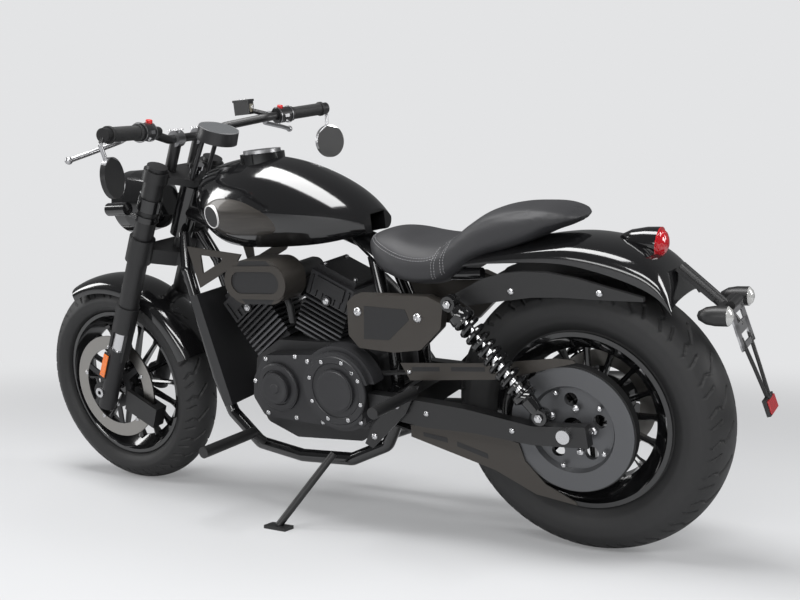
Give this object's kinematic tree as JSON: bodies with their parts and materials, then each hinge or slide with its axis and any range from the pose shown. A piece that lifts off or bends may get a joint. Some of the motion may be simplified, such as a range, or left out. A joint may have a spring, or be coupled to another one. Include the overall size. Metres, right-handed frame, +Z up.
{
  "type": "cruiser motorcycle",
  "caption": "Cruiser motorcycle with an exposed V-twin engine, teardrop tank, belt drive and bobbed fenders, leaning on its side stand, with turning wheels, steering, stand and fuel cap",
  "frame": {"origin": "on the ground under the middle of the machine's bounding box, as it stands on its side stand", "axes": "+X forward along the wheelbase, +Y to the rider's left, +Z up; the machine leans 11 degrees towards +Y"},
  "size_m": [2.0808, 0.9106, 1.0961],
  "materials": {
    "tyre": "tyre rubber",
    "gloss_black": "deep gloss black paint",
    "brushed_steel": "brushed stainless steel",
    "charcoal_metal": "satin charcoal engine paint",
    "zinc_steel": "plated steel",
    "satin_black": "satin black powder coat",
    "bright_metal": "bare bright alloy",
    "rubber": "moulded rubber",
    "black_plastic": "black moulded plastic",
    "clear_lens": "clear lamp glass",
    "bronze_metal": "satin bronze-grey coating",
    "leatherette": "matte anthracite leatherette",
    "red_lens": "red lamp lens"
  },
  "bodies": {
    "chassis": {"rear_axle": "zinc_steel", "frame": "satin_black", "engine_block": "charcoal_metal", "cylinders": "charcoal_metal", "engine_covers": "charcoal_metal", "air_cleaner": "bronze_metal", "radiator": "black_plastic", "fuel_tank": "gloss_black", "seat": "leatherette", "side_covers": "bronze_metal", "rear_fender": "gloss_black", "fender_rails": "satin_black", "tail_lamp": "red_lens", "swingarm": "satin_black", "rear_shocks": "satin_black", "drive_belt": "rubber", "belt_guards": "bronze_metal", "rear_caliper": "satin_black", "exhaust": "satin_black", "foot_controls": "satin_black", "passenger_pegs": "satin_black", "tail_bracket": "satin_black"},
    "steering": {"fork_clamps": "satin_black", "fork_tubes": "satin_black", "fork_sliders": "bright_metal", "handlebar": "satin_black", "grips": "rubber", "hand_controls": "black_plastic", "gauge": "black_plastic", "headlamp": "gloss_black", "headlamp_lens": "clear_lens", "front_fender": "gloss_black", "front_signals": "satin_black", "front_caliper": "satin_black", "mirrors": "satin_black", "front_axle": "zinc_steel"},
    "front_wheel": {"front_tyre": "tyre", "front_rim": "gloss_black", "front_disc": "brushed_steel"},
    "rear_wheel": {"rear_tyre": "tyre", "rear_rim": "gloss_black", "rear_disc": "brushed_steel", "rear_pulley": "charcoal_metal"},
    "stand": {"side_stand": "satin_black"},
    "filler_cap": {"fuel_cap": "bright_metal"}
  },
  "joints": [
    {"name": "steering_turn", "type": "hinge", "parent": "chassis", "child": "steering", "pos_m": [0.43183, -0.02438, 0.77859], "axis": [-0.4571, 0.1697, 0.8731], "range_deg": [-36, 36]},
    {"name": "front_wheel_spin", "type": "hinge", "parent": "steering", "child": "front_wheel", "pos_m": [0.74141, -0.11846, 0.29465], "axis": [0, 0.9816, -0.1908], "continuous": true},
    {"name": "rear_wheel_spin", "type": "hinge", "parent": "chassis", "child": "rear_wheel", "pos_m": [-0.67859, -0.11615, 0.3065], "axis": [0, 0.9816, -0.1908], "continuous": true},
    {"name": "stand_fold", "type": "hinge", "parent": "chassis", "child": "stand", "pos_m": [-0.07259, 0.00924, 0.17594], "axis": [0.23, 0.7956, 0.5604], "range_deg": [0, 113.29]},
    {"name": "cap_lift", "type": "hinge", "parent": "chassis", "child": "filler_cap", "pos_m": [0.19541, 0.0018, 0.91331], "axis": [0, 0.9816, -0.1908], "range_deg": [0, 100]}
  ]
}
